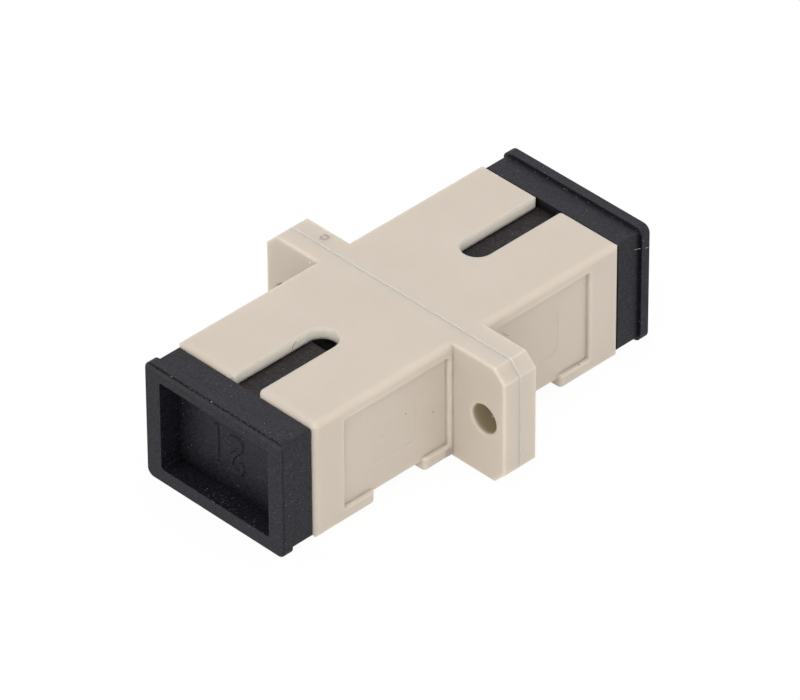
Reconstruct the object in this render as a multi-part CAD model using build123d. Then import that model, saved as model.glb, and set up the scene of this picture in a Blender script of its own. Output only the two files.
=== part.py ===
from build123d import *
import os

# Fibre optic adapter for one pair of SC plugs, with a screw flange and a dust cap in each port.
# Two like mouldings are welded face to face at the flange. Between them they trap two latch
# holders, and those carry the split sleeve that lines up the two plug ferrules.
# Y is the optical axis, with the front port facing -Y. Z is up, on the side of the key slots.
# The origin is on the optical axis, in the weld plane of the flange. Sizes are in millimetres.

# Barrel of one housing half, measured from the weld plane to the port's mouth
body_width = 12.9
body_height = 9.3
half_length = 14.2
upper_edge_round = 0.42
lower_edge_round = 0.42
mouth_edge_round = 0.55

# Flange ears
flange_width = 22.4
flange_half_thickness = 1.5
flange_corner_chamfer = 0.95
flange_edge_round = 0.15
weld_seam_break = 0.04
screw_edge_distance = 1.9
screw_hole = 2.25
screw_hole_break = 0.08

# Port for the plug
port_wall = 0.9
port_width = 9.1
port_corner_round = 0.35
port_lead_in = 0.3
key_slot_width = 2.4
key_slot_length = 8.2
key_slot_mouth_round = 0.5

# Recess round the barrel for a panel clip, left empty here
clip_recess_depth = 0.35
clip_recess_near_flange = 0.33
clip_recess_length = 9.55
clip_recess_top = 3.66
clip_ledge = -3.55
clip_recess_round = 0.15
clip_recess_rim_break = 0.09
clip_channel_depth = 0.4
clip_channel_start = 4.1
clip_channel_length = 4.55
clip_channel_chamfer = 0.45
foot_round = 0.3
window_mark_depth = 0.03
window_mark_start = 4.5
window_mark_length = 4.2
window_mark_low = -1.7
window_mark_high = 1.5
window_mark_chamfer = 0.5

# Alignment sleeve
sleeve_outer = 3.2
sleeve_wall = 0.35
sleeve_length = 11.4
sleeve_slit = 0.5
sleeve_play = 0.1
sleeve_edge_break = 0.1

# Latch holder: base plate, half of the sleeve's tube, and two hooks
plate_thickness = 1.1
plate_overlap = 0.25
plate_round = 0.4
plate_play = 0.05
tube_wall = 0.6
tube_lip = 0.5
tube_lip_bore = 2.8
tube_lead_in = 0.25
tube_root_round = 0.4
hook_gap = 6.9
hook_height = 3.2
hook_reach = 8.9
arm_thickness = 0.75
barb_depth = 0.6
barb_length = 0.9
barb_tip = 0.3
arm_root_round = 0.3
flex_room = 0.55
relief_end_gap = 0.6
core_window = 0.8

# Dust cap: rim, stop block, hollow plug
cap_rim_thickness = 0.8
cap_rim_overhang = 0.05
cap_rim_round = 0.6
cap_rim_edge_round = 0.12
cap_block_side_inset = 0.2
cap_block_top_inset = 0.25
cap_block_length = 2.0
cap_block_round = 0.2
cap_pocket_side_wall = 1.4
cap_pocket_top_wall = 1.15
cap_pocket_depth = 1.7
cap_pocket_round = 0.2
cap_pocket_draft = 1.5
plug_length = 7.5
plug_fit = 0.08
plug_wall = 0.9
plug_end_chamfer = 0.3
plug_hook_gap = 0.45

# Sizes that follow from the ones above
screw_pitch = flange_width - 2 * screw_edge_distance
port_height = body_height - 2 * port_wall
arm_inner = hook_gap / 2 + barb_depth
arm_outer = arm_inner + arm_thickness
relief_width = 2 * (arm_outer + flex_room)
relief_height = hook_height + 2 * flex_room
plate_width = relief_width + 2 * plate_overlap
plate_height = port_height + 2 * plate_overlap
plate_seat_depth = plate_thickness + plate_play
relief_reach = hook_reach + relief_end_gap
holder_bore = sleeve_outer + 2 * sleeve_play
holder_tube = holder_bore + 2 * tube_wall
holder_bore_depth = sleeve_length / 2 + sleeve_play
holder_reach = holder_bore_depth + tube_lip
clip_recess_start = flange_half_thickness + clip_recess_near_flange
clip_recess_end = clip_recess_start + clip_recess_length
clip_channel_end = clip_channel_start + clip_channel_length
plug_end = half_length - plug_length
plug_width = port_width - 2 * plug_fit
plug_height = port_height - 2 * plug_fit
cap_rim_width = body_width + 2 * cap_rim_overhang
cap_rim_height = body_height + 2 * cap_rim_overhang
cap_block_width = body_width - 2 * cap_block_side_inset
cap_block_height = body_height - 2 * cap_block_top_inset
cap_pocket_width = cap_rim_width - 2 * cap_pocket_side_wall
cap_pocket_height = cap_rim_height - 2 * cap_pocket_top_wall


def across(distance):
    """Plane square to the optical axis, this far from the weld plane towards the front port."""
    return Plane.XZ.offset(distance)


def barrel_profile():
    with BuildSketch() as profile:
        Rectangle(body_width, body_height)
        by_height = profile.vertices().group_by(Axis.Y)
        fillet(by_height[-1], upper_edge_round)
        by_height = profile.vertices().group_by(Axis.Y)
        fillet(by_height[0], lower_edge_round)
    return profile.sketch


def rounded_mouth(width, plane, depth):
    """Slab as long as a half, seen square to one pair of walls, with both mouth corners rounded."""
    start = -flange_half_thickness / 2
    with BuildSketch(plane) as outline:
        with BuildLine():
            walls = FilletPolyline((-width / 2, start), (-width / 2, -half_length),
                                   (width / 2, -half_length), (width / 2, start),
                                   radius=mouth_edge_round)
            Line(walls @ 1, walls @ 0)
        make_face()
    return extrude(outline.sketch, depth, both=True)


def barrel():
    """Outer tube of a half: its cross-section, cut to the mouth's roundings from above and beside."""
    tube = extrude(across(0) * barrel_profile(), half_length)
    from_above = rounded_mouth(body_width, Plane.XY, body_height)
    from_beside = rounded_mouth(body_height, Plane(origin=(0, 0, 0), x_dir=(0, 0, -1), z_dir=(1, 0, 0)),
                                body_width)
    return tube & from_above & from_beside


def flange():
    """Flange half with chamfered corners and an edge break that shows as the weld seam."""
    with BuildSketch(across(0)) as outline:
        Rectangle(flange_width, body_height)
        chamfer(outline.vertices(), flange_corner_chamfer)
    plate = extrude(outline.sketch, flange_half_thickness)
    front = plate.faces().sort_by(Axis.Y)[0]
    plate = fillet(front.edges(), flange_edge_round)
    seam = plate.faces().sort_by(Axis.Y)[-1]
    return chamfer(seam.edges(), weld_seam_break)


def screw_holes():
    drill = Cylinder(screw_hole / 2, 4 * flange_half_thickness, rotation=(90, 0, 0))
    return [Pos(side * screw_pitch / 2, 0, 0) * drill for side in (-1, 1)]


def port_cavity():
    """Seat for the latch holder's plate, room for the hooks to spread, and the plug's port."""
    seat = extrude(across(0) * RectangleRounded(plate_width + 2 * plate_play,
                                                plate_height + 2 * plate_play, plate_round),
                   plate_seat_depth)
    relief = extrude(across(0) * RectangleRounded(relief_width, relief_height, port_corner_round),
                     relief_reach)
    port = extrude(across(0) * RectangleRounded(port_width, port_height, port_corner_round),
                   half_length)
    mouth = extrude(across(half_length) * RectangleRounded(port_width, port_height,
                                                           port_corner_round),
                    -port_lead_in, taper=45)
    lead_in = mirror(mouth, about=across(half_length - port_lead_in / 2))
    return [seat, relief, port, lead_in]


def key_slot():
    """Slot in the top wall, open at the mouth, with a half-round end and rounded mouth corners."""
    half_width = key_slot_width / 2
    end = -(half_length - key_slot_length)
    mouth = -half_length
    flare = half_width + key_slot_mouth_round
    with BuildSketch(Plane.XY) as outline:
        with BuildLine():
            left = Line((-half_width, mouth + key_slot_mouth_round), (-half_width, end - half_width))
            tip = ThreePointArc(left @ 1, (0, end), (half_width, end - half_width))
            right = Line(tip @ 1, (half_width, mouth + key_slot_mouth_round))
            right_corner = RadiusArc(right @ 1, (flare, mouth), -key_slot_mouth_round)
            outer = Polyline(right_corner @ 1, (flare, mouth - 1), (-flare, mouth - 1), (-flare, mouth))
            RadiusArc(outer @ 1, left @ 0, -key_slot_mouth_round)
        make_face()
    return extrude(outline.sketch, body_height)


def clip_recess():
    """Shallow recess on both flanks, joined under the barrel by a channel between the feet."""
    length = clip_recess_end - clip_recess_start
    height = clip_recess_top - clip_ledge
    middle_y = -(clip_recess_start + clip_recess_end) / 2
    middle_z = (clip_recess_top + clip_ledge) / 2
    flank = Plane.YZ.offset(body_width / 2) * Pos(middle_y, middle_z)
    flank_cut = extrude(flank * RectangleRounded(length, height, clip_recess_round),
                        -clip_recess_depth)
    core_width = body_width - 2 * clip_recess_depth
    core_bottom = clip_channel_depth - body_height / 2
    with BuildSketch(across(clip_channel_start)) as ring:
        with Locations((0, -body_height / 2)):
            Rectangle(body_width + 2, body_height)
        with BuildSketch(across(clip_channel_start), mode=Mode.SUBTRACT) as core:
            with Locations((0, core_bottom)):
                Rectangle(core_width, body_height, align=(Align.CENTER, Align.MIN))
            chamfer(core.vertices().group_by(Axis.Y)[0], clip_channel_chamfer)
    channel = extrude(ring.sketch, clip_channel_length)
    return [flank_cut, mirror(flank_cut, about=Plane.YZ), channel]


def window_mark():
    """Faint step that the mould insert leaves on each flank, inside the clip recess."""
    floor_x = body_width / 2 - clip_recess_depth
    start = -window_mark_start
    end = -(window_mark_start + window_mark_length)
    corner = window_mark_chamfer
    with BuildSketch(Plane.YZ.offset(floor_x)) as mark:
        Polygon((start, window_mark_high), (end, window_mark_high), (end, window_mark_low + corner),
                (end + corner, window_mark_low), (start - corner, window_mark_low),
                (start, window_mark_low + corner), align=None)
    cut = extrude(mark.sketch, -window_mark_depth)
    return [cut, mirror(cut, about=Plane.YZ)]


def round_feet(half):
    """Round the lower corners of the feet on both sides of the clip's channel."""
    bottom = -body_height / 2
    ends = (-clip_channel_start, -clip_channel_end)
    edges = [edge for edge in half.edges().filter_by(Axis.X)
             if abs(edge.center().Z - bottom) < 0.01
             and min(abs(edge.center().Y - end) for end in ends) < 0.01]
    return fillet(edges, foot_round)


def break_recess_rim(half):
    """Break the rim that both recesses leave in the flanks, between the channel's two walls."""
    edges = [edge for edge in half.edges()
             if abs(abs(edge.center().X) - body_width / 2) < 0.01
             and abs(edge.bounding_box().size.X) < 0.01
             and -clip_recess_end - 0.01 < edge.center().Y < -clip_recess_start + 0.01
             and clip_ledge - 0.01 < edge.center().Z < clip_recess_top + 0.01]
    return chamfer(edges, clip_recess_rim_break)


def break_screw_holes(half):
    """Break the rim of both screw holes on the flange's face."""
    edges = [edge for edge in half.edges().filter_by(GeomType.CIRCLE)
             if abs(edge.center().Y + flange_half_thickness) < 0.01
             and abs(edge.radius - screw_hole / 2) < 0.01]
    return chamfer(edges, screw_hole_break)


def housing():
    half = barrel() + flange()
    half -= clip_recess()
    half = round_feet(half)
    half = break_recess_rim(half)
    half -= window_mark()
    half -= port_cavity()
    half -= key_slot()
    half -= screw_holes()
    return break_screw_holes(half)


def hook():
    """One sprung arm with its barb turned inwards, as a profile seen from above."""
    root = -plate_thickness / 2
    tip = -hook_reach
    barb_back = tip + barb_length
    barb_face = arm_inner - barb_depth
    with BuildSketch(Plane.XY) as outline:
        with BuildLine():
            Polyline((arm_inner, root), (arm_inner, barb_back), (barb_face, barb_back),
                     (barb_face, barb_back - barb_tip), (arm_inner, tip), (arm_outer, tip),
                     (arm_outer, root), (arm_inner, root))
        make_face()
    arm = extrude(outline.sketch, hook_height / 2, both=True)
    nose = arm.edges().filter_by(Axis.Z).sort_by(lambda e: e.center().Y - e.center().X)[0]
    return fillet(nose, arm_thickness / 2)


def latch_holder():
    """Plate that the weld traps, with the sleeve's half tube and the two latch hooks."""
    plate = extrude(across(0) * RectangleRounded(plate_width, plate_height, plate_round),
                    plate_thickness)
    tube = extrude(across(0) * Circle(holder_tube / 2), holder_reach)
    tube = chamfer(tube.faces().sort_by(Axis.Y)[0].edges(), tube_lead_in)
    right = hook()
    holder = plate + tube + right + mirror(right, about=Plane.YZ)
    root = [edge for edge in holder.edges().filter_by(GeomType.CIRCLE)
            if abs(edge.center().Y + plate_thickness) < 0.01
            and abs(edge.radius - holder_tube / 2) < 0.01]
    holder = fillet(root, tube_root_round)
    arm_roots = [edge for edge in holder.edges().filter_by(Axis.Z)
                 if abs(edge.center().Y + plate_thickness) < 0.01
                 and abs(abs(edge.center().X) - arm_outer) < 0.01]
    holder = fillet(arm_roots, arm_root_round)
    holder -= extrude(across(0) * Circle(holder_bore / 2), holder_bore_depth)
    holder -= extrude(across(0) * Circle(tube_lip_bore / 2), holder_reach)
    lead_in = Cone(tube_lip_bore / 2, tube_lip_bore / 2 + tube_lead_in, tube_lead_in,
                   rotation=(90, 0, 0))
    holder -= Pos(0, -holder_reach + tube_lead_in / 2, 0) * lead_in
    window = Box(core_window, 4 * plate_thickness, hook_height)
    for side in (-1, 1):
        holder -= Pos(side * (arm_inner - core_window / 2), 0, 0) * window
    return holder


def alignment_sleeve():
    """Split tube that springs open round the two ferrules."""
    tube = extrude(across(-sleeve_length / 2) * Circle(sleeve_outer / 2), sleeve_length)
    ends = tube.edges().filter_by(GeomType.CIRCLE)
    tube = chamfer(ends, sleeve_edge_break)
    bore = extrude(across(-sleeve_length / 2) * Circle(sleeve_outer / 2 - sleeve_wall),
                   sleeve_length)
    slit = Pos(0, 0, sleeve_outer / 2) * Box(sleeve_slit, 2 * sleeve_length, sleeve_outer)
    return tube - bore - slit


def dust_cap():
    """Push-in cap: rim and block outside the port, hollow plug inside it."""
    face = half_length + cap_block_length + cap_rim_thickness
    rim = extrude(across(half_length + cap_block_length)
                  * RectangleRounded(cap_rim_width, cap_rim_height, cap_rim_round),
                  cap_rim_thickness)
    rim = fillet(rim.faces().sort_by(Axis.Y)[0].edges(), cap_rim_edge_round)
    block = extrude(across(half_length) * RectangleRounded(cap_block_width, cap_block_height,
                                                           cap_block_round), cap_block_length)
    plug = extrude(across(plug_end) * RectangleRounded(plug_width, plug_height, port_corner_round),
                   plug_length)
    plug = chamfer(plug.faces().sort_by(Axis.Y)[-1].edges(), plug_end_chamfer)
    hollow = extrude(across(plug_end) * RectangleRounded(plug_width - 2 * plug_wall,
                                                         plug_height - 2 * plug_wall,
                                                         port_corner_round), plug_length)
    notch_end = hook_reach + plug_hook_gap
    notch_height = hook_height + 2 * plug_hook_gap
    notch = Box(2 * plug_width, notch_end - plug_end, notch_height,
                align=(Align.CENTER, Align.MAX, Align.CENTER))
    pocket = extrude(across(face) * RectangleRounded(cap_pocket_width, cap_pocket_height,
                                                     cap_pocket_round),
                     -cap_pocket_depth, taper=cap_pocket_draft)
    cap = rim + block + plug - hollow - pocket
    return cap - Pos(0, -plug_end, 0) * notch


def turned_round(solid):
    """The same moulding, turned half round about the vertical axis for the rear."""
    return Rot(0, 0, 180) * solid


front_housing = housing()
front_latch_holder = latch_holder()
front_dust_cap = dust_cap()
pieces = {
    "front_housing": front_housing,
    "rear_housing": turned_round(front_housing),
    "front_latch_holder": front_latch_holder,
    "rear_latch_holder": turned_round(front_latch_holder),
    "alignment_sleeve": alignment_sleeve(),
    "front_dust_cap": front_dust_cap,
    "rear_dust_cap": turned_round(front_dust_cap),
}

os.makedirs("parts", exist_ok=True)
for name, solid in pieces.items():
    export_step(solid, f"parts/{name}.step")
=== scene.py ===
# %% [markdown]
# # A fibre optic adapter, dressed for the camera
# The real object joins two fibre plugs end to end. Two beige mouldings are welded face to face at
# the screw flange, and a black dust cap is pushed into each port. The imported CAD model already
# has these shapes, so this lesson loads it as a fixed frame and gives it real surfaces: moulded
# plastic with its grain, wear and dust, the small raised marks that the mould leaves, plain studio
# light and a camera at the photograph's angle.

# %% Load the frame
import math

import bpy
from mathutils import Matrix, Vector


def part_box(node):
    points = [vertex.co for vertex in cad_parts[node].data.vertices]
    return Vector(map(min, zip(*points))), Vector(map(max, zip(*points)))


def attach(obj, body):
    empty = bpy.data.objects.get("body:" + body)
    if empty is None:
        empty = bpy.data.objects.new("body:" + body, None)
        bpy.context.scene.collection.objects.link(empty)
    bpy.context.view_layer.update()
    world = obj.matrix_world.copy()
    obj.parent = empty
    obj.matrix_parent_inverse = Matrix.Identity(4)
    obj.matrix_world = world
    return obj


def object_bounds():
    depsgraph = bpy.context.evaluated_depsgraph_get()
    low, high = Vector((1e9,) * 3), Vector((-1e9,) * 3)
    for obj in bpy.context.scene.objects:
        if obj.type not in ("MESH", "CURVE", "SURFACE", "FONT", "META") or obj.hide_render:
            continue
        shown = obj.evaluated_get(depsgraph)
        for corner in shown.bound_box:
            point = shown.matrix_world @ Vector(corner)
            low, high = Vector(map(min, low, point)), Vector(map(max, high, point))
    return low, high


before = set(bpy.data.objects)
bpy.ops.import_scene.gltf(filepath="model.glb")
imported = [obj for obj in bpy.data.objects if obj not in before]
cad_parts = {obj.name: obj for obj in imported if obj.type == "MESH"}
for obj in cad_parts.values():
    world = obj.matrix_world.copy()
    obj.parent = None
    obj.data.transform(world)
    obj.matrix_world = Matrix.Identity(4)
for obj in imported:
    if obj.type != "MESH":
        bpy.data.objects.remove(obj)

MM = 0.001
cad_low, cad_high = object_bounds()
print("CAD box in mm:", [round(v / MM, 2) for v in (cad_high - cad_low)])

# %% [markdown]
# ## Sizes read from the frame
# Every mark that is added later sits on a surface of the CAD model. The boxes of its pieces give
# where the top and the caps' faces are. What lies inside a box is written here, from the CAD
# model's own sizes.

# %% Read where the surfaces are
housing_low, housing_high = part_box("front_housing")
cap_low, cap_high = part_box("front_dust_cap")

TOP = housing_high.z
HALF_LENGTH = -housing_low.y
FLANK = 6.45 * MM
RECESS_FLOOR = FLANK - 0.35 * MM
SLOT_WALL = -1.2 * MM
PORT_CEILING = 3.75 * MM
SCREW_AXIS = 9.3 * MM
SCREW_RADIUS = 1.125 * MM
RIM_FACE = -cap_low.y
RIM_BACK = RIM_FACE - 0.8 * MM
RIM_SIDE = cap_high.x
RIM_TOP = cap_high.z
BLOCK_SIDE = RIM_SIDE - 0.25 * MM
BLOCK_TOP = RIM_TOP - 0.3 * MM
POCKET_FLOOR = RIM_FACE - 1.7 * MM
POCKET_BOTTOM = -3.53 * MM
print("top", round(TOP / MM, 2), "rim face", round(RIM_FACE / MM, 2), "mm from the weld plane")

# %% [markdown]
# ## Colours
# Colours are written as sRGB hex values, as a colour picker shows them. Blender's shaders count in
# linear light, so one function turns the one into the other.


# %% A hex colour in linear light
def linear(hex_colour):
    """sRGB hex such as D6CABC as linear red, green, blue and alpha."""
    parts = [int(hex_colour[i:i + 2], 16) / 255 for i in (0, 2, 4)]
    return [p / 12.92 if p <= 0.04045 else ((p + 0.055) / 1.055) ** 2.4 for p in parts] + [1.0]


WHITE = linear("FFFFFF")
print("beige in linear light:", [round(v, 3) for v in linear("CDBFB0")])

# %% [markdown]
# ## One helper for node trees
# A material is a small graph, and so is a Geometry Nodes modifier. Both could be clicked together
# in Blender's editors. In a script, one helper that adds a node, sets its fields and makes its
# links keeps each recipe readable. A recipe then reads from the inside out, like a formula.


# %% Add one node with its settings and links
def add(tree, kind, *values, **named):
    """Adds a node. kind is its type, or its type and settings. Values fill its active inputs in
    order, and named ones by name, with underscores for spaces. A value is a number, a vector, a
    colour, a socket, or a node, which stands for its first active output."""
    kind, settings = kind if isinstance(kind, tuple) else (kind, {})
    node = tree.nodes.new(kind)
    for field, setting in settings.items():
        setattr(node, field, setting)
    active = [socket for socket in node.inputs if socket.enabled]
    pairs = list(zip(active, values))
    pairs += [(node.inputs[name.replace("_", " ")], value) for name, value in named.items()]
    for socket, value in pairs:
        if isinstance(value, bpy.types.Node):
            value = next(output for output in value.outputs if output.enabled)
        if isinstance(value, bpy.types.NodeSocket):
            tree.links.new(value, socket)
        else:
            socket.default_value = value
    return node


# %% [markdown]
# ## Kinds of node
# A few kinds come up again and again, so they get short names. A soft step takes a value, a low
# and a high limit: it is 0 below low and 1 above high, or the other way round where high is the
# smaller. A mix takes a share and two colours.

# %% Short names for the usual kinds
NOISE = "ShaderNodeTexNoise"
STEP = ("ShaderNodeMapRange", {"interpolation_type": "SMOOTHSTEP"})
RANGE = "ShaderNodeMapRange"
MIX = ("ShaderNodeMix", {"data_type": "RGBA"})
PLUS = ("ShaderNodeMath", {"operation": "ADD"})
MINUS = ("ShaderNodeMath", {"operation": "SUBTRACT"})
TIMES = ("ShaderNodeMath", {"operation": "MULTIPLY"})
LARGER = ("ShaderNodeMath", {"operation": "MAXIMUM"})
UNSIGNED = ("ShaderNodeMath", {"operation": "ABSOLUTE"})
BELOW = ("ShaderNodeMath", {"operation": "LESS_THAN"})
ABOVE = ("ShaderNodeMath", {"operation": "GREATER_THAN"})
SCALED = ("ShaderNodeVectorMath", {"operation": "SCALE"})
STRETCHED = ("ShaderNodeVectorMath", {"operation": "MULTIPLY"})
XYZ = "ShaderNodeSeparateXYZ"
SHADE = ("ShaderNodeAmbientOcclusion", {"samples": 6})
GEOMETRY = "ShaderNodeNewGeometry"
BUMP = "ShaderNodeBump"
SURFACE = "ShaderNodeBsdfPrincipled"
OUTPUT = "ShaderNodeOutputMaterial"
print("the usual kinds have short names, such as", STEP[0])

# %% [markdown]
# ## What every finish is mixed from
# Real plastic differs from place to place: clouds in its colour, patches of wear, dots of dust. All
# of them come from noise in the object's own coordinates, in metres, so they stay on the surface
# when a part moves. Sizes are given in millimetres, as they would be measured on the real piece.


# %% Ingredients
def per(size):
    """Scale of a pattern whose features come out about this many millimetres large."""
    return 1 / (size * MM)


def patches(tree, place, size, low, high, detail=2.0, roughness=0.5):
    """Patches with soft edges: noise of this size in millimetres, cut off between low and high."""
    return add(tree, STEP, add(tree, NOISE, place, per(size), detail, roughness), low, high)


def dots(tree, place, spacing, radius, share):
    """Scattered round dots: one may lie in each cell of this spacing, and this share does."""
    cells = add(tree, "ShaderNodeTexVoronoi", place, per(spacing))
    inside = add(tree, STEP, cells, radius / spacing, 0.5 * radius / spacing)
    chance = add(tree, "ShaderNodeSeparateColor", cells.outputs["Color"])
    return add(tree, TIMES, inside, add(tree, BELOW, chance, share))


def paint(tree, under, where, cover, hex_colour):
    """Lays a colour over another. where is a mask from 0 to 1, and cover is how much of the colour
    below is hidden at most."""
    return add(tree, MIX, add(tree, TIMES, where, cover), under, linear(hex_colour))


print("a pattern of 4 mm has the scale", per(4.0))

# %% [markdown]
# ## Edges in the light
# A moulded edge is never quite sharp. The Bevel node averages the surface's direction over a small
# radius, which rounds an edge in the light without another face in the mesh. How far it leans from
# the true direction also marks the edges, for wear and for painted highlights.


# %% An empty material, and its rounded edges
def new_material(name):
    """An empty material, its node tree and the object's coordinates in metres."""
    material = bpy.data.materials.new(name)
    material.use_nodes = True
    tree = material.node_tree
    tree.nodes.clear()
    return material, tree, add(tree, "ShaderNodeTexCoord").outputs["Object"]


def soft_edges(tree, radius):
    """The surface's direction, averaged over this many millimetres, and a mask of its edges."""
    rounded = add(tree, ("ShaderNodeBevel", {"samples": 6}), radius * MM)
    true = add(tree, GEOMETRY).outputs["Normal"]
    match = add(tree, ("ShaderNodeVectorMath", {"operation": "DOT_PRODUCT"}), rounded, true)
    return rounded, add(tree, STEP, match, 0.995, 0.86)


print("an edge counts fully where the two directions differ by", round(math.degrees(math.acos(0.86))),
      "degrees or more")

# %% [markdown]
# ## Beige plastic: its colour
# The housings are injection-moulded PBT, coloured through with a grey beige. The melt flows
# unevenly into the mould, which leaves faint clouds a few millimetres wide and a finer mottle.
# Edges are paler, in patches, where they rub against other parts in the bag, and the same paler
# band is a painted highlight on them.

# %% Beige clouds, and rubbed edges with a painted highlight
beige, tree, place = new_material("pbt_moulded_satin_beige")
rounded, edge = soft_edges(tree, 0.25)

clouds = add(tree, NOISE, place, per(4.0), 3.0)
colour = add(tree, MIX, clouds, linear("CBBFB2"), linear("D2C8BB"))
colour = paint(tree, colour, add(tree, NOISE, place, per(0.35)), 0.16, "BFAE9B")
# Edges lightened in patches: partly wear, partly a painted highlight
rubbed_and_highlit = add(tree, TIMES, edge, patches(tree, place, 0.9, 0.35, 0.6))
colour = paint(tree, colour, rubbed_and_highlit, 0.35, "E4DCD2")
print("beige clouds and edges:", len(tree.nodes), "nodes")

# %% [markdown]
# ## Beige plastic: painted light in the weld, painted shade in corners
# The weld's groove runs round the flange where the distance from the weld plane is nearly zero.
# A pale painted light fills most of it, more so on top, which lifts its shade to a faint, uneven
# line. Other narrow corners get a warm painted shade, as the light in them has passed through the
# plastic.

# %% Painted light in the weld, painted shade in corners
across = add(tree, XYZ, place).outputs
from_weld = add(tree, UNSIGNED, across["Y"])
weld = add(tree, STEP, from_weld, 0.09 * MM, 0.05 * MM)
higher = add(tree, RANGE, across["Z"], 2.4 * MM, 3.4 * MM, 0.5, 1.0)
# Painted light: a pale colour in the weld's groove, stronger on top, that lifts its shade
weld_painted_light = add(tree, TIMES, add(tree, TIMES, weld, patches(tree, place, 1.3, 0.0, 0.5)), higher)
colour = add(tree, MIX, weld_painted_light, colour, linear("F3E4D0"))

corner = add(tree, SHADE, Distance=0.25 * MM).outputs["AO"]
# Painted shade: narrow corners darkened to a warm brown, except in the weld
corner_painted_shade = add(tree, LARGER, add(tree, MINUS, add(tree, STEP, corner, 0.72, 0.2), weld), 0.0)
colour = paint(tree, colour, corner_painted_shade, 0.4, "9A8462")
print("weld and corners: now", len(tree.nodes), "nodes")

# %% [markdown]
# ## Beige plastic: screw holes, key slots and mouth
# The screw holes get a dark brown painted shade, as the light in them has passed through the plastic
# again and again. A point is in a bore where it is within the bore's radius of either hole's axis.
# The key slots' walls get a pale painted light, paler than the grained top. A little painted shade
# lies where a cap meets the mouth.

# %% Holes, slots and mouth
sideways = add(tree, UNSIGNED, across["X"])
from_axis = add(tree, ("ShaderNodeVectorMath", {"operation": "LENGTH"}), add(
    tree, "ShaderNodeCombineXYZ", X=add(tree, MINUS, sideways, SCREW_AXIS), Z=across["Z"]))
# Painted shade in the screw holes: dark brown within the bore
bore_painted_shade = add(tree, STEP, from_axis, SCREW_RADIUS + 0.075 * MM, SCREW_RADIUS + 0.005 * MM)
bore_painted_shade = add(tree, TIMES, bore_painted_shade, add(tree, STEP, from_weld, 1.55 * MM, 1.0 * MM))
colour = paint(tree, colour, bore_painted_shade, 0.58, "86701F")

# Painted light: the key slots' walls lightened to a pale cream
slot_painted_light = add(tree, STEP, sideways, -SLOT_WALL + 0.12 * MM, -SLOT_WALL + 0.04 * MM)
slot_painted_light = add(tree, TIMES, slot_painted_light, add(tree, STEP, across["Z"], TOP - 0.02 * MM, TOP - 0.15 * MM))
slot_painted_light = add(tree, TIMES, slot_painted_light,
              add(tree, STEP, across["Z"], PORT_CEILING - 0.55 * MM, PORT_CEILING - 0.25 * MM))
colour = paint(tree, colour, slot_painted_light, 0.9, "F7EEE3")

# Painted shade where a cap meets the mouth
mouth_painted_shade = add(tree, STEP, from_weld, HALF_LENGTH - 0.16 * MM, HALF_LENGTH)
colour = paint(tree, colour, mouth_painted_shade, 0.25, "7C6342")
print("holes, slots and mouth: now", len(tree.nodes), "nodes")

# %% [markdown]
# ## Beige plastic: burnt specks
# A few brown specks of burnt plastic lie in the surface. Some are scattered, and some are listed
# one by one, each as a distance from a point, because a viewer of the real piece would find them there.

# %% Burnt specks
burnt_specks = [  # place, then radius, in millimetres
    ((6.1, -5.48, 0.85), 0.07), ((6.1, -7.59, 0.13), 0.06), ((6.1, -3.0, -0.33), 0.065),
    ((6.42, -14.1, 1.41), 0.06), ((6.3, 10.5, -3.55), 0.07)]
specks = dots(tree, place, 2.6, 0.03, 0.25)
for spot, radius in burnt_specks:
    away = add(tree, ("ShaderNodeVectorMath", {"operation": "DISTANCE"}), place, Vector(spot) * MM)
    specks = add(tree, LARGER, specks, add(tree, STEP, away, radius * MM, 0.5 * radius * MM))
colour = add(tree, MIX, specks, colour, linear("3A2A1A"))
print(len(burnt_specks), "specks placed by hand")

# %% [markdown]
# ## Beige plastic: its surface
# A spark-eroded mould gives a very fine satin grain, so the plastic has a broad soft sheen and no
# sharp reflections. PBT lets a little light through, which rounds the shading at edges. The weld's
# groove and the shallow step in each flank's recess are finer than the rounding of the edges, so
# the true direction counts there.

# %% Grain, sheen and the light in the plastic
shallow = add(tree, STEP, sideways, RECESS_FLOOR + 0.02 * MM, RECESS_FLOOR + 0.005 * MM)
shallow = add(tree, TIMES, shallow, add(tree, STEP, from_weld, 3.8 * MM, 3.95 * MM))
shallow = add(tree, TIMES, shallow, add(tree, STEP, from_weld, 8.95 * MM, 8.8 * MM))
shallow = add(tree, TIMES, shallow, add(tree, STEP, across["Z"], 3.4 * MM, 3.2 * MM))
surface = add(tree, ("ShaderNodeMix", {"data_type": "VECTOR"}), add(tree, LARGER, weld, shallow),
              rounded, add(tree, GEOMETRY).outputs["True Normal"])

# The real grain is about 0.02 mm wide, too fine to show in the render, so it is drawn at 0.07 mm
grain = add(tree, NOISE, place, per(0.07))
peel = add(tree, NOISE, place, per(0.5), 1.0)
surface = add(tree, BUMP, Distance=0.006 * MM, Height=peel, Normal=surface)
surface = add(tree, BUMP, Distance=0.005 * MM, Height=grain, Normal=surface)
plastic = add(tree, SURFACE, Base_Color=colour, Normal=surface, Roughness=0.42, IOR=1.5,
              Subsurface_Weight=0.9, Subsurface_Radius=(1.0, 0.95, 0.85), Subsurface_Scale=1.0 * MM)
add(tree, OUTPUT, plastic)
print("beige:", len(tree.nodes), "nodes")

# %% [markdown]
# ## Black caps: their colour
# The dust caps are soft black polyethylene, moulded against a coarse-blasted mould and sold by the
# bag. The blasted surface is matt with a visible speckle, slightly blue from the carbon black in
# it. Loose caps rub against each other, so their edges are greyed. Narrow corners hold shade.

# %% Black speckle, edges and corners
black, tree, place = new_material("polyethylene_blasted_black")
rounded, edge = soft_edges(tree, 0.05)

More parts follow.
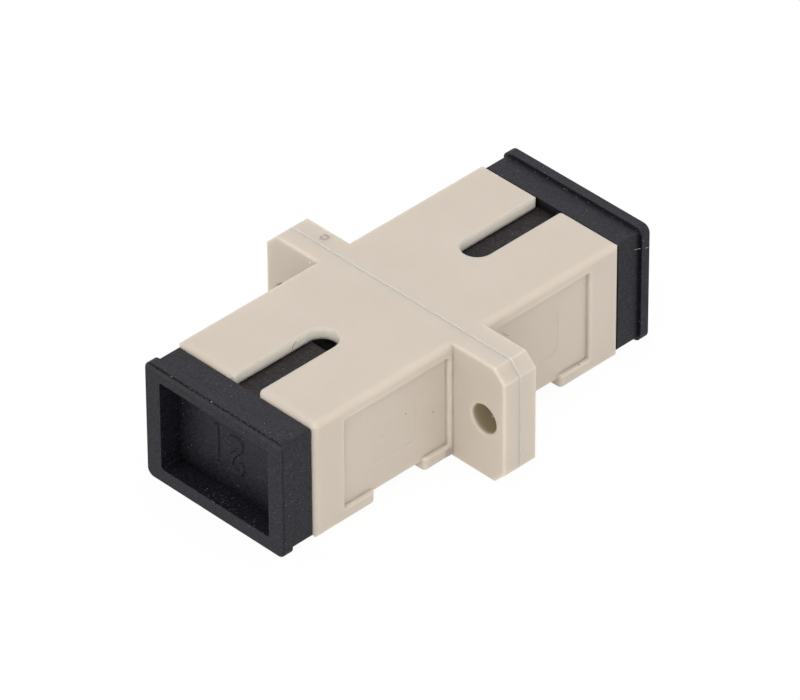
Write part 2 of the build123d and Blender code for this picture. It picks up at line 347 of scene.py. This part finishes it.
# Blasting leaves pits of about 0.05 mm, which are smaller than a pixel, so they are drawn at 0.14 mm
blast = add(tree, NOISE, place, per(0.14), 3.0, 0.7)
contrast = add(tree, STEP, blast, 0.35, 0.65)
colour = add(tree, MIX, contrast, linear("040406"), linear("252430"))
colour = paint(tree, colour, add(tree, NOISE, place, per(1.6)), 0.35, "131217")

greyed = add(tree, TIMES, edge, patches(tree, place, 0.2, 0.58, 0.72))
colour = paint(tree, colour, greyed, 0.6, "77757A")
corner = add(tree, ("ShaderNodeAmbientOcclusion", {"samples": 8}), Distance=0.3 * MM).outputs["AO"]
colour = paint(tree, colour, add(tree, STEP, corner, 0.92, 0.45), 0.8, "020203")
print("black speckle, edges and corners:", len(tree.nodes), "nodes")

# %% [markdown]
# ## Black caps: dust film, painted bounce light on the plug, painted shade on the rim
# A thin film of dust lies on the top faces, and also lightens them as painted light. Where the cap
# sits in its port, the warm light bounced off the beige walls is painted on it as a brown cast, in
# patches. The rim's top front edge is where the mould's halves met: it is torn, and its shade is
# painted on in dots.

# %% Dust film, painted bounce light on the plug and painted shade on the torn edge
across = add(tree, XYZ, place).outputs
# Dust film on the top faces, which also lightens them as painted light
top_dust_and_light = add(tree, STEP, across["Z"], 4.1 * MM, 4.3 * MM)
colour = paint(tree, colour, top_dust_and_light, 0.03, "8F8E94")

along = add(tree, UNSIGNED, across["Y"])
# Painted light: a warm brown cast on the plug in its port, for light bounced off the beige walls
inserted = add(tree, STEP, along, HALF_LENGTH + 0.1 * MM, HALF_LENGTH - 0.1 * MM)
bounce_patches = patches(tree, place, 0.3, 0.35, 0.8, 4.0, 0.7)
plug_bounce_light = add(tree, PLUS, add(tree, TIMES, bounce_patches, 0.25), 0.03)
colour = add(tree, MIX, add(tree, TIMES, inserted, plug_bounce_light), colour, linear("63503C"))

front_edge = add(tree, TIMES,
                 add(tree, STEP, along, RIM_FACE - 0.16 * MM, RIM_FACE - 0.08 * MM),
                 add(tree, STEP, across["Z"], RIM_TOP - 0.2 * MM, RIM_TOP - 0.1 * MM))
# Painted shade: near-black dots along the torn front edge of the rim
torn = add(tree, TIMES, front_edge, patches(tree, place, 0.25, 0.35, 0.55))
colour = add(tree, MIX, torn, colour, linear("010101"))
print("film, plug and rim: now", len(tree.nodes), "nodes")

# %% [markdown]
# ## Black caps: painted shade in deep corners, and loose dust
# Deep corners get a blacker painted shade still, and dust gathers in them. It lies over all of the
# cap as a few coarse grains and many fine ones. Real grains are mostly finer than 0.02 mm, which no
# pixel could show, so the fine ones are drawn at 0.03 mm and set close.

# %% Deep shade and dust
sheltered = add(tree, SHADE, Distance=1.6 * MM).outputs["AO"]
# Painted shade: deep corners darkened almost to black
colour = paint(tree, colour, add(tree, STEP, sheltered, 0.6, 0.25), 0.75, "020202")
gather = add(tree, TIMES, add(tree, STEP, sheltered, 0.75, 0.35), 0.2)
coarse_dust = dots(tree, place, 0.4, 0.036, add(tree, PLUS, gather, 0.3))
fine_dust = dots(tree, place, 0.13, 0.03, add(tree, PLUS, gather, 0.35))
paleness = add(tree, TIMES, patches(tree, place, 0.5, 0.3, 0.7), 0.45)
colour = add(tree, MIX, add(tree, TIMES, fine_dust, paleness), colour, linear("8F8E94"))
colour = paint(tree, colour, coarse_dust, 0.6, "B0AFB4")

surface = add(tree, BUMP, Distance=0.014 * MM, Height=blast, Normal=rounded)
plastic = add(tree, SURFACE, Base_Color=colour, Normal=surface, Roughness=0.5, IOR=1.5,
              Specular_IOR_Level=0.22)
add(tree, OUTPUT, plastic)
print("black:", len(tree.nodes), "nodes")

# %% [markdown]
# ## Latch holders
# The latch holders are uncoloured PBT, off-white and waxy, with flow clouds and the smoother surface
# of a finely polished mould. They show through the open ports once the caps are pulled.

# %% Natural PBT
natural, tree, place = new_material("pbt_natural_waxy_white")
rounded, edge = soft_edges(tree, 0.08)
clouds = add(tree, NOISE, place, per(2.5), 3.0)
colour = add(tree, MIX, clouds, linear("E0DACA"), linear("EBE7DB"))
colour = paint(tree, colour, edge, 0.4, "F4F1E8")
colour = add(tree, MIX, dots(tree, place, 1.4, 0.03, 0.3), colour, linear("B7AA92"))
surface = add(tree, BUMP, Distance=0.004 * MM, Height=add(tree, NOISE, place, per(0.3)), Normal=rounded)
plastic = add(tree, SURFACE, Base_Color=colour, Normal=surface, Roughness=0.34, IOR=1.51,
              Subsurface_Weight=0.3, Subsurface_Radius=(1.0, 0.85, 0.6), Subsurface_Scale=0.6 * MM)
add(tree, OUTPUT, plastic)
print("natural PBT:", len(tree.nodes), "nodes")

# %% [markdown]
# ## Alignment sleeve
# The split sleeve is rolled from phosphor bronze strip, so its brushed lines run round it and give
# it a soft streaky gloss. The noise is drawn out across the axis and left short along it. Tarnish
# darkens and roughens it in patches.

# %% Phosphor bronze
bronze, tree, place = new_material("phosphor_bronze_rolled")
rounded, edge = soft_edges(tree, 0.05)
# Rolled lines are about 0.01 mm apart, too fine to show in the render, so they are drawn at 0.05 mm
stretched = add(tree, STRETCHED, place, (0.15, 1, 0.15))
lines = add(tree, NOISE, stretched, per(0.05), 4.0, 0.65)
tarnish = add(tree, NOISE, place, per(1.8), 3.0)
colour = add(tree, MIX, lines, linear("C98F62"), linear("E0AE84"))
colour = add(tree, MIX, add(tree, STEP, tarnish, 0.5, 0.75), colour, linear("A8714A"))
colour = paint(tree, colour, edge, 0.6, "EFC7A2")
surface = add(tree, BUMP, Distance=0.003 * MM, Height=lines, Normal=rounded)
metal = add(tree, SURFACE, Base_Color=colour, Normal=surface, Metallic=1.0,
            Roughness=add(tree, RANGE, tarnish, To_Min=0.2, To_Max=0.42))
add(tree, OUTPUT, metal)
print("bronze:", len(tree.nodes), "nodes")

# %% [markdown]
# ## Lint, dust and chips
# Dust is made of short fibres and skin-like flakes. Both scatter light from their fuzzy edges, which
# is what Blender's sheen stands for. Where an edge of the moulding is torn, its chips are white and
# just as rough. The three differ in two colours only, so one function makes them all.


# %% Lint and chips
def lint(name, dark, light):
    """Fuzzy matt fibres or flakes whose colour drifts between these two."""
    material, tree, place = new_material(name)
    colour = add(tree, MIX, add(tree, NOISE, place, per(0.2)), linear(dark), linear(light))
    surface = add(tree, BUMP, Distance=0.004 * MM, Height=add(tree, NOISE, place, per(0.02)),
                  Normal=add(tree, GEOMETRY).outputs["Normal"])
    fuzz = add(tree, SURFACE, Base_Color=colour, Normal=surface, Roughness=0.9, Sheen_Weight=0.3)
    add(tree, OUTPUT, fuzz)
    return material


pale_lint = lint("household_dust_pale", "8F8C88", "C9C6C0")
brown_lint = lint("thread_dull_brown", "6B5945", "9C8B74")
chips = lint("pbt_torn_chips_white", "EFEAE2", "FBF8F3")
print("lint and chips:", [material.name for material in (pale_lint, brown_lint, chips)])

# %% [markdown]
# ## Finishes on the CAD parts
# The CAD shapes are right as they are, so they stay, and only the material in their slots changes.

# %% Put the finishes on
finishes = {"front_housing": beige, "rear_housing": beige, "front_latch_holder": natural,
            "rear_latch_holder": natural, "alignment_sleeve": bronze, "front_dust_cap": black,
            "rear_dust_cap": black}
for name, material in finishes.items():
    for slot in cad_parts[name].material_slots:
        slot.material = material
print("finishes on", len(finishes), "parts")

# %% [markdown]
# ## Trees that make small pieces
# Thirteen small pieces lie on the adapter: numbers, rings, crumbs and fibres. All of them follow a
# line, so each kind is one Geometry Nodes tree that takes bare edges and gives a solid shape. The
# trees end alike: their instances are made real, because the export drops instances, and get one
# material.


# %% Begin and end a tree
def begin_tree(name, inputs):
    """A node group with one mesh in and out, and these named inputs of a socket kind."""
    tree = bpy.data.node_groups.new(name, "GeometryNodeTree")
    tree.interface.new_socket("Mesh", in_out="INPUT", socket_type="NodeSocketGeometry")
    for label, kind in inputs.items():
        tree.interface.new_socket(label, in_out="INPUT", socket_type=kind)
    tree.interface.new_socket("Mesh", in_out="OUTPUT", socket_type="NodeSocketGeometry")
    return tree, add(tree, "NodeGroupInput").outputs


def end_tree(tree, shape, material):
    """Makes instances real, sets the material and hands the mesh out."""
    single = add(tree, "GeometryNodeRealizeInstances", shape)
    coated = add(tree, "GeometryNodeSetMaterial", single, Material=material)
    add(tree, "NodeGroupOutput", coated)
    print(tree.name, "has", len(tree.nodes), "nodes")


NUMBER = "NodeSocketFloat"
COUNT = "NodeSocketInt"
VECTOR = "NodeSocketVector"
FINISH = "NodeSocketMaterial"
print("an input of a tree can be", NUMBER, COUNT, VECTOR, "or", FINISH)

# %% [markdown]
# ## Raised marks from the mould
# A figure cut into a mould with a small round cutter comes out of it raised, with round stroke
# ends and soft flanks. The same goes for the thin ring that an ejector pin's edge leaves. Both are
# one thing: a strip that swells wherever it is near a drawn line. So one tree lays a fine grid over
# the lines, lifts every point by its distance to the nearest line and throws the rest of the grid
# away. An artist might sculpt these marks, but a distance keeps the stroke's width exact and lets
# the same tree serve every mark.

# %% Geometry Nodes: a grid that swells over drawn lines
swell, given = begin_tree("swell_over_lines", {
    "Centre": VECTOR, "Turn": VECTOR, "Size": NUMBER, "Points": COUNT, "Stroke Width": NUMBER,
    "Height": NUMBER, "Sink": NUMBER, "Material": FINISH})
grid = add(swell, "GeometryNodeMeshGrid", given["Size"], given["Size"], given["Points"],
           given["Points"])
placed = add(swell, "GeometryNodeTransform", grid, given["Centre"], given["Turn"])
nearest = add(swell, ("GeometryNodeProximity", {"target_element": "EDGES"}), given["Mesh"])
near = nearest.outputs["Distance"]

half_width = add(swell, TIMES, given["Stroke Width"], 0.5)
half_height = add(swell, TIMES, given["Height"], 0.5)
foot = add(swell, PLUS, half_width, half_height)
top = add(swell, MINUS, half_width, half_height)
rise = add(swell, TIMES, add(swell, STEP, near, foot, top), given["Height"])
outward = add(swell, "GeometryNodeInputNormal")
offset = add(swell, SCALED, outward, add(swell, MINUS, rise, given["Sink"]))
raised = add(swell, "GeometryNodeSetPosition", placed, Offset=offset)

far = add(swell, ABOVE, near, add(swell, PLUS, foot, given["Height"]))
trimmed = add(swell, ("GeometryNodeDeleteGeometry", {"domain": "POINT"}), raised, far)
end_tree(swell, add(swell, "GeometryNodeSetShadeSmooth", trimmed), given["Material"])

# %% [markdown]
# ## Lines, and a tree that runs on them
# A line is drawn as a mesh of bare edges, in its place on the adapter. The tree runs as a modifier,
# whose inputs are set by their identifiers. Its result becomes the piece's own mesh, and the
# modifier goes, so the piece is plain geometry.


# %% Draw lines and let a tree work on them
def lines_object(name, strokes):
    """A mesh of bare edges: each stroke is a list of points in metres, joined in a row."""
    points = [point for stroke in strokes for point in stroke]
    edges = []
    first = 0
    for stroke in strokes:
        edges += [(first + i, first + i + 1) for i in range(len(stroke) - 1)]
        first += len(stroke)
    mesh = bpy.data.meshes.new(name)
    mesh.from_pydata(points, edges, [])
    piece = bpy.data.objects.new(name, mesh)
    bpy.context.scene.collection.objects.link(piece)
    return piece


def run_nodes(piece, tree, values):
    """Runs a node group on a piece with these named inputs, and keeps the result as its mesh."""
    modifier = piece.modifiers.new(tree.name, "NODES")
    modifier.node_group = tree
    for socket in tree.interface.items_tree:
        if socket.in_out == "INPUT" and socket.name in values:
            modifier[socket.identifier] = values[socket.name]
    evaluated = piece.evaluated_get(bpy.context.evaluated_depsgraph_get())
    result = bpy.data.meshes.new_from_object(evaluated)
    piece.modifiers.clear()
    piece.data = result
    print(piece.name, len(result.polygons), "faces")


def arc(centre, radius, start, end, count):
    """Points in a plane on an arc, with angles in degrees."""
    angles = [math.radians(start + (end - start) * i / (count - 1)) for i in range(count)]
    return [(centre[0] + radius * math.cos(a), centre[1] + radius * math.sin(a)) for a in angles]


print("a half circle:", [(round(u, 2), round(v, 2)) for u, v in arc((0, 0), 1, 0, 180, 5)])

# %% [markdown]
# ## The cavity number in the caps
# Each cap carries the number of the mould cavity it came from, raised on the floor of its pocket.
# It is a plain 12, about 3 mm high. Its centre lines are two strokes: a bar for the one, and for
# the two a bow, a slanting line and a foot that curls up again.

# %% Cavity number
one = [(-1.5, 1.2), (-1.5, -1.45)]
two = ([(-0.12, 0.97)] + arc((0.42, 0.66), 0.43, 110, -35, 7) + [(-0.04, -0.5)]
       + arc((0.36, -1.13), 0.53, 165, 395, 12))
NUMBER_DROP = 0.12
for body, sign, turn in (("front_cap", -1, (math.pi / 2, 0, 0)),
                         ("rear_cap", 1, (math.pi / 2, 0, math.pi))):
    strokes = [[(-sign * u * MM, sign * POCKET_FLOOR, (v - NUMBER_DROP) * MM) for u, v in stroke]
               for stroke in (one, two)]
    number = lines_object(f"{body}_cavity_number", strokes)
    run_nodes(number, swell, {"Centre": (0, sign * POCKET_FLOOR, -0.2 * MM), "Turn": turn,
                              "Size": 4.2 * MM, "Points": 151, "Stroke Width": 0.4 * MM,
                              "Height": 0.11 * MM, "Sink": 0.01 * MM, "Material": black})
    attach(number, body)

# %% [markdown]
# ## A finish for thin marks
# The beige rounds its edges over 0.25 mm, which would blur a ring that is only 0.1 mm wide. So the
# rings get a copy with a much smaller rounding, and a little grime on what faces up.

# %% Beige for thin raised marks
ring_finish = beige.copy()
ring_finish.name = "pbt_thin_raised_mark"
tree = ring_finish.node_tree
for node in tree.nodes:
    if node.bl_idname == "ShaderNodeBevel":
        node.inputs["Radius"].default_value = 0.01 * MM
base = next(n for n in tree.nodes if n.bl_idname == SURFACE).inputs["Base Color"]
clean = base.links[0].from_socket
facing = add(tree, XYZ, add(tree, GEOMETRY).outputs["True Normal"]).outputs["Z"]
grimy = paint(tree, clean, add(tree, STEP, facing, 0.2, 0.5), 0.28, "7C6C58")
tree.links.new(grimy.outputs["Result"], base)
print("thin marks:", len(tree.nodes), "nodes")

# %% [markdown]
# ## Ejector rings on the housing
# A small ring stands on top of the flange and another low on the foot beside it, where pins with a
# worn edge pushed the moulding out. They are open at one side, and barely thicker than a hair.

# %% Rings on the flange and the foot
flat = (0, 0, 0)
upright = (math.pi / 2, 0, math.pi / 2)
ring_places = {  # centre in millimetres, turn, radius in millimetres, first and last angle
    "flange_ring": ((-7.9, 0.75, TOP / MM), flat, 0.25, (200, 500)),
    "foot_ring": ((FLANK / MM, -1.88, -4.16), upright, 0.22, (-60, 230)),
}
for name, (centre, turn, radius, (start, end)) in ring_places.items():
    centre = Vector(centre) * MM
    ring = arc((0, 0), radius, start, end, 20)
    ring = [centre + Vector((u, v, 0) if turn == flat else (0, u, v)) * MM for u, v in ring]
    piece = lines_object(name, [ring])
    run_nodes(piece, swell, {"Centre": centre, "Turn": turn, "Size": 0.9 * MM, "Points": 61,
                             "Stroke Width": 0.1 * MM, "Height": 0.03 * MM, "Sink": 0.003 * MM,
                             "Material": ring_finish})
    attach(piece, "adapter")

# %% [markdown]
# ## Crumbs along a line
# Dust, burrs and chips of flash are small irregular grains that lie along an edge or in a corner.
# One tree scatters them: it puts points on a drawn line at an even spacing, pushes each aside by
# chance, and sets a little lump there that noise has made uneven. Seeds are fixed, so that every run
# gives the same grains.

# %% Geometry Nodes: crumbs along drawn lines
RANDOM = ("FunctionNodeRandomValue", {"data_type": "FLOAT_VECTOR"})
DENTS_PER_MM = 18
crumbs, given = begin_tree("crumbs_along_lines", {
    "Spacing": NUMBER, "Spread": VECTOR, "Crumb Size": NUMBER, "Seed": COUNT, "Material": FINISH})
path = add(crumbs, "GeometryNodeMeshToCurve", given["Mesh"])
spots = add(crumbs, ("GeometryNodeCurveToPoints", {"mode": "LENGTH"}), path, given["Spacing"])
sway = add(crumbs, RANDOM, (-1, -1, -1), (1, 1, 1), Seed=given["Seed"])
strewn = add(crumbs, "GeometryNodeSetPosition", spots,
             Offset=add(crumbs, STRETCHED, sway, given["Spread"]))

lump = add(crumbs, "GeometryNodeMeshIcoSphere", given["Crumb Size"], 2)
dents = add(crumbs, NOISE, Scale=DENTS_PER_MM / MM, Detail=1.0).outputs["Color"]
inwards = add(crumbs, ("ShaderNodeVectorMath", {"operation": "SUBTRACT"}), dents, (0.5, 0.5, 0.5))
dented = add(crumbs, SCALED, inwards, add(crumbs, TIMES, given["Crumb Size"], 1.8))
uneven = add(crumbs, "GeometryNodeSetPosition", lump, Offset=dented)

turned = add(crumbs, RANDOM, (0, 0, 0), (6.28, 6.28, 6.28), Seed=3)
scaled = add(crumbs, RANDOM, (0.4, 0.2, 0.2), (2.4, 1.0, 0.8), Seed=7)
grains = add(crumbs, "GeometryNodeInstanceOnPoints", strewn, Instance=uneven, Rotation=turned,
             Scale=scaled)
end_tree(crumbs, grains, given["Material"])

# %% [markdown]
# ## Dust, burr and chips
# Dust clings to the front cap's rim, the bottom of its pocket and the rear cap. A burr runs along
# the front rim, where the mould's halves met. At the flange a few flecks stand in the corner, and a
# chip of flash hangs in the right screw hole. Real grains of dust are mostly finer than 0.02 mm,
# which no pixel could show, so these are drawn coarser.

# %% Where the crumbs lie
# The rims' edges run straight up to here on either side
END = 5.6 * MM


def line(axis, first, last, **place):
    """A straight line along one axis from first to last, at this place on the others."""
    return [tuple({**place, axis: value}[name] for name in "xyz") for value in (first, last)]


crumb_rows = {  # body, slot, finish, lines, then spacing, spread, size in millimetres, and seed
    "front_cap_rim_burr": (
        "front_cap", "black_cap", black, [line("x", -END, END, y=-RIM_FACE, z=RIM_TOP - 0.07 * MM)],
        0.15, (0.05, 0.0, 0.01), 0.045, 1),
    "front_cap_rim_dust": (
        "front_cap", None, pale_lint,
        [line("x", -END, END, y=-RIM_FACE + 0.05 * MM, z=RIM_TOP - 0.03 * MM)],
        1.1, (0.7, 0.03, 0.0), 0.026, 5),
    "front_cap_pocket_dust": (
        "front_cap", None, pale_lint,
        [line("x", -1.5 * MM, 4.8 * MM, y=-y * MM, z=POCKET_BOTTOM)
         for y in (15.6, 16.0, 16.4, 16.8)],
        0.24, (0.25, 0.25, 0.01), 0.018, 2),
    "rear_cap_dust": (
        "rear_cap", None, pale_lint,
        [line("x", -END, END, y=RIM_BACK, z=BLOCK_TOP),
         line("z", -3.9 * MM, 3.9 * MM, x=BLOCK_SIDE, y=RIM_BACK)],
        0.9, (0.6, 0.03, 0.02), 0.03, 4),
    "flange_corner_flecks": (
        "adapter", "beige_pbt", chips,
        [[(-6.5 * MM, -1.52 * MM, TOP - 0.05 * MM), (-6.9 * MM, -1.51 * MM, TOP - 0.35 * MM)]],
        0.2, (0.06, 0.0, 0.03), 0.06, 8),
    "screw_hole_chip": (
        "adapter", "beige_pbt", chips,
        [[(8.7 * MM, -0.08 * MM, -0.88 * MM), (8.74 * MM, 0.08 * MM, -0.92 * MM)]],
        0.08, (0.02, 0.02, 0.02), 0.08, 6),
}
for name, (body, slot, finish, rows, spacing, spread, size, seed) in crumb_rows.items():
    piece = lines_object(name, rows)
    run_nodes(piece, crumbs, {"Spacing": spacing * MM, "Spread": Vector(spread) * MM,
                              "Crumb Size": size * MM, "Seed": seed, "Material": finish})
    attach(piece, body)

# %% [markdown]
# ## Single fibres: their shape
# A fibre that lies on a surface bends smoothly and gets thinner to its ends. It is drawn as a few
# points, made smooth as a spline and given a round section whose width follows the place along it.

# %% Geometry Nodes: a fibre along a drawn line
fibres, given = begin_tree("fibre_along_line", {"Thickness": NUMBER, "Material": FINISH})
path = add(fibres, "GeometryNodeMeshToCurve", given["Mesh"])
curved = add(fibres, ("GeometryNodeCurveSplineType", {"spline_type": "NURBS"}), path)
even = add(fibres, "GeometryNodeResampleCurve", curved, Count=40)
along = add(fibres, "GeometryNodeSplineParameter").outputs["Factor"]
full = add(fibres, TIMES, add(fibres, STEP, along, 0.0, 0.3), add(fibres, STEP, along, 1.0, 0.7))
width = add(fibres, PLUS, add(fibres, TIMES, full, 0.7), 0.3)
section = add(fibres, "GeometryNodeCurvePrimitiveCircle", Resolution=8,
              Radius=add(fibres, TIMES, given["Thickness"], 0.5))
tube = add(fibres, "GeometryNodeCurveToMesh", even, section, Scale=width, Fill_Caps=True)
end_tree(fibres, add(fibres, "GeometryNodeSetShadeSmooth", tube), given["Material"])

# %% [markdown]
# ## Single fibres: their places
# Three fibres cling to the adapter: a dull thread on the rear flank, one that bends over the rear
# cap's rim, and one on the wall of the front key slot.

# %% Fibres on the rear cap, on the flank and in the key slot
fibre_rows = {  # body, finish, then thickness and points in millimetres
    "rear_flank_fibre": (
        "adapter", brown_lint, 0.03,
        [(6.12, y, z) for y, z in
         ((3.4, 2.88), (3.59, 2.61), (3.77, 2.35), (3.96, 2.21), (4.1, 2.22))]),
    "rear_cap_fibre": (
        "rear_cap", pale_lint, 0.035,
        [(6.26, 15.7, 3.2), (6.28, 16.1, 3.16), (6.42, 16.24, 3.1), (6.51, 16.5, 3.04),
         (6.51, 16.97, 3.0)]),
    "key_slot_fibre": (
        "adapter", brown_lint, 0.045,
        [(SLOT_WALL / MM, y, z) for y, z in
         ((-8.76, 3.78), (-8.74, 4.0), (-8.6, 4.3), (-8.42, 4.42), (-8.25, 4.36))]),
}
for name, (body, finish, thickness, points) in fibre_rows.items():
    piece = lines_object(name, [[Vector(point) * MM for point in points]])
    run_nodes(piece, fibres, {"Thickness": thickness * MM, "Material": finish})
    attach(piece, body)

# %% [markdown]
# ## Floor and backdrop
# The object was photographed in a white tent, on paper as white as the background. Floor and
# backdrop are lit softly but show pure white when they are looked at, which the Light Path node can
# tell from a bounce of light. The floor keeps the object's faint shadow.


# %% White paper
def looked_at(tree, share):
    """This share for rays from the camera or through glass, 1 for mirrored rays, and 0 for soft
    bounced light."""
    rays = add(tree, "ShaderNodeLightPath").outputs
    seen = add(tree, LARGER, rays["Is Camera Ray"], rays["Is Transmission Ray"])
    return add(tree, LARGER, add(tree, TIMES, seen, share), rays["Is Glossy Ray"])


paper, tree, _ = new_material("matt_white_paper")
sheet = add(tree, SURFACE, Base_Color=linear("F2F2F2"), Roughness=0.9, Specular_IOR_Level=0.1,
            Emission_Color=WHITE, Emission_Strength=0.14)
white = add(tree, "ShaderNodeEmission", WHITE, 1.0)
add(tree, OUTPUT, add(tree, "ShaderNodeMixShader", looked_at(tree, 0.95), sheet, white))
print("white paper:", len(tree.nodes), "nodes")

# %% Floor
REACH = 0.6
# A hair below the rims, so that no two faces share a plane
ground = cad_low.z - 0.01 * MM
floor_mesh = bpy.data.meshes.new("studio_floor")
floor_mesh.from_pydata([(-REACH, -REACH, ground), (REACH, -REACH, ground), (REACH, REACH, ground),
                        (-REACH, REACH, ground)], [], [(0, 1, 2, 3)])
floor_mesh.materials.append(paper)
floor = bpy.data.objects.new("studio_floor", floor_mesh)
bpy.context.scene.collection.objects.link(floor)
print("floor at", round(ground / MM, 2), "mm")

# %% [markdown]
# ## Room light
# In a tent, light comes from all round. The tent is the world's colour, at a strength that leaves
# room for the lamps.

# %% Light tent
world = bpy.data.worlds.new("light_tent")
bpy.context.scene.world = world
world.use_nodes = True
tree = world.node_tree
tree.nodes.clear()
tent = add(tree, "ShaderNodeBackground", WHITE, 0.72)
backdrop = add(tree, "ShaderNodeBackground", WHITE, 1.0)
mixed = add(tree, "ShaderNodeMixShader", looked_at(tree, 1.0), tent, backdrop)
add(tree, "ShaderNodeOutputWorld", mixed)
print("room light:", len(tree.nodes), "nodes")

# %% [markdown]
# ## Lamps
# A little more light comes from above, from the front and from the right, from three soft boxes.
# Their powers were found by comparing the brightness of each face with the photograph.


# %% Soft boxes
LAMP_DISTANCE = 0.5


def soft_box(name, direction, size, watts):
    """A square lamp in this direction from the object, facing it."""
    lamp = bpy.data.lights.new(name, "AREA")
    lamp.shape = "SQUARE"
    lamp.size = size
    lamp.energy = watts
    holder = bpy.data.objects.new(name, lamp)
    towards = Vector(direction).normalized()
    holder.location = towards * LAMP_DISTANCE
    holder.rotation_euler = towards.to_track_quat("Z", "Y").to_euler()
    bpy.context.scene.collection.objects.link(holder)
    print(name, watts, "W")


soft_box("right_box", (0.85, -0.1, 0.52), 0.3, 0.24)
soft_box("front_box", (0.3, -0.8, 0.5), 0.3, 0.47)
soft_box("top_box", (0, 0, 1), 0.4, 0.71)

# %% [markdown]
# ## Camera
# The photograph was taken from far away with a long lens, from the front right and above, so its
# lines hardly converge. The angles, the distance and the lens come from fitting the model's straight
# edges to those in the picture.

# %% The photograph's view
IMAGE_WIDTH = 800
SENSOR = 36
azimuth, elevation, roll = (math.radians(v) for v in (45.65, 37.12, -0.31))
distance = 0.5455
focal_px = 8241
aim_px = (0.33, 1.29)

back = Vector((math.sin(azimuth) * math.cos(elevation), -math.cos(azimuth) * math.cos(elevation),
               math.sin(elevation)))
level = Vector((math.cos(azimuth), math.sin(azimuth), 0))
raised = back.cross(level)
right = level * math.cos(roll) + raised * math.sin(roll)
up = raised * math.cos(roll) - level * math.sin(roll)
place = back * distance - (right * aim_px[0] + up * aim_px[1]) * distance / focal_px

camera = bpy.data.objects.new("camera", bpy.data.cameras.new("camera"))
camera.data.sensor_width = SENSOR
camera.data.lens = focal_px * SENSOR / IMAGE_WIDTH
camera.data.clip_start = 0.01
camera.data.clip_end = 10
camera.matrix_world = Matrix((
    (right.x, up.x, back.x, place.x), (right.y, up.y, back.y, place.y),
    (right.z, up.z, back.z, place.z), (0, 0, 0, 1)))
scene = bpy.context.scene
scene.collection.objects.link(camera)
scene.camera = camera
scene.view_settings.view_transform = "Standard"
print("lens", round(camera.data.lens), "mm at", round(distance, 3), "m")
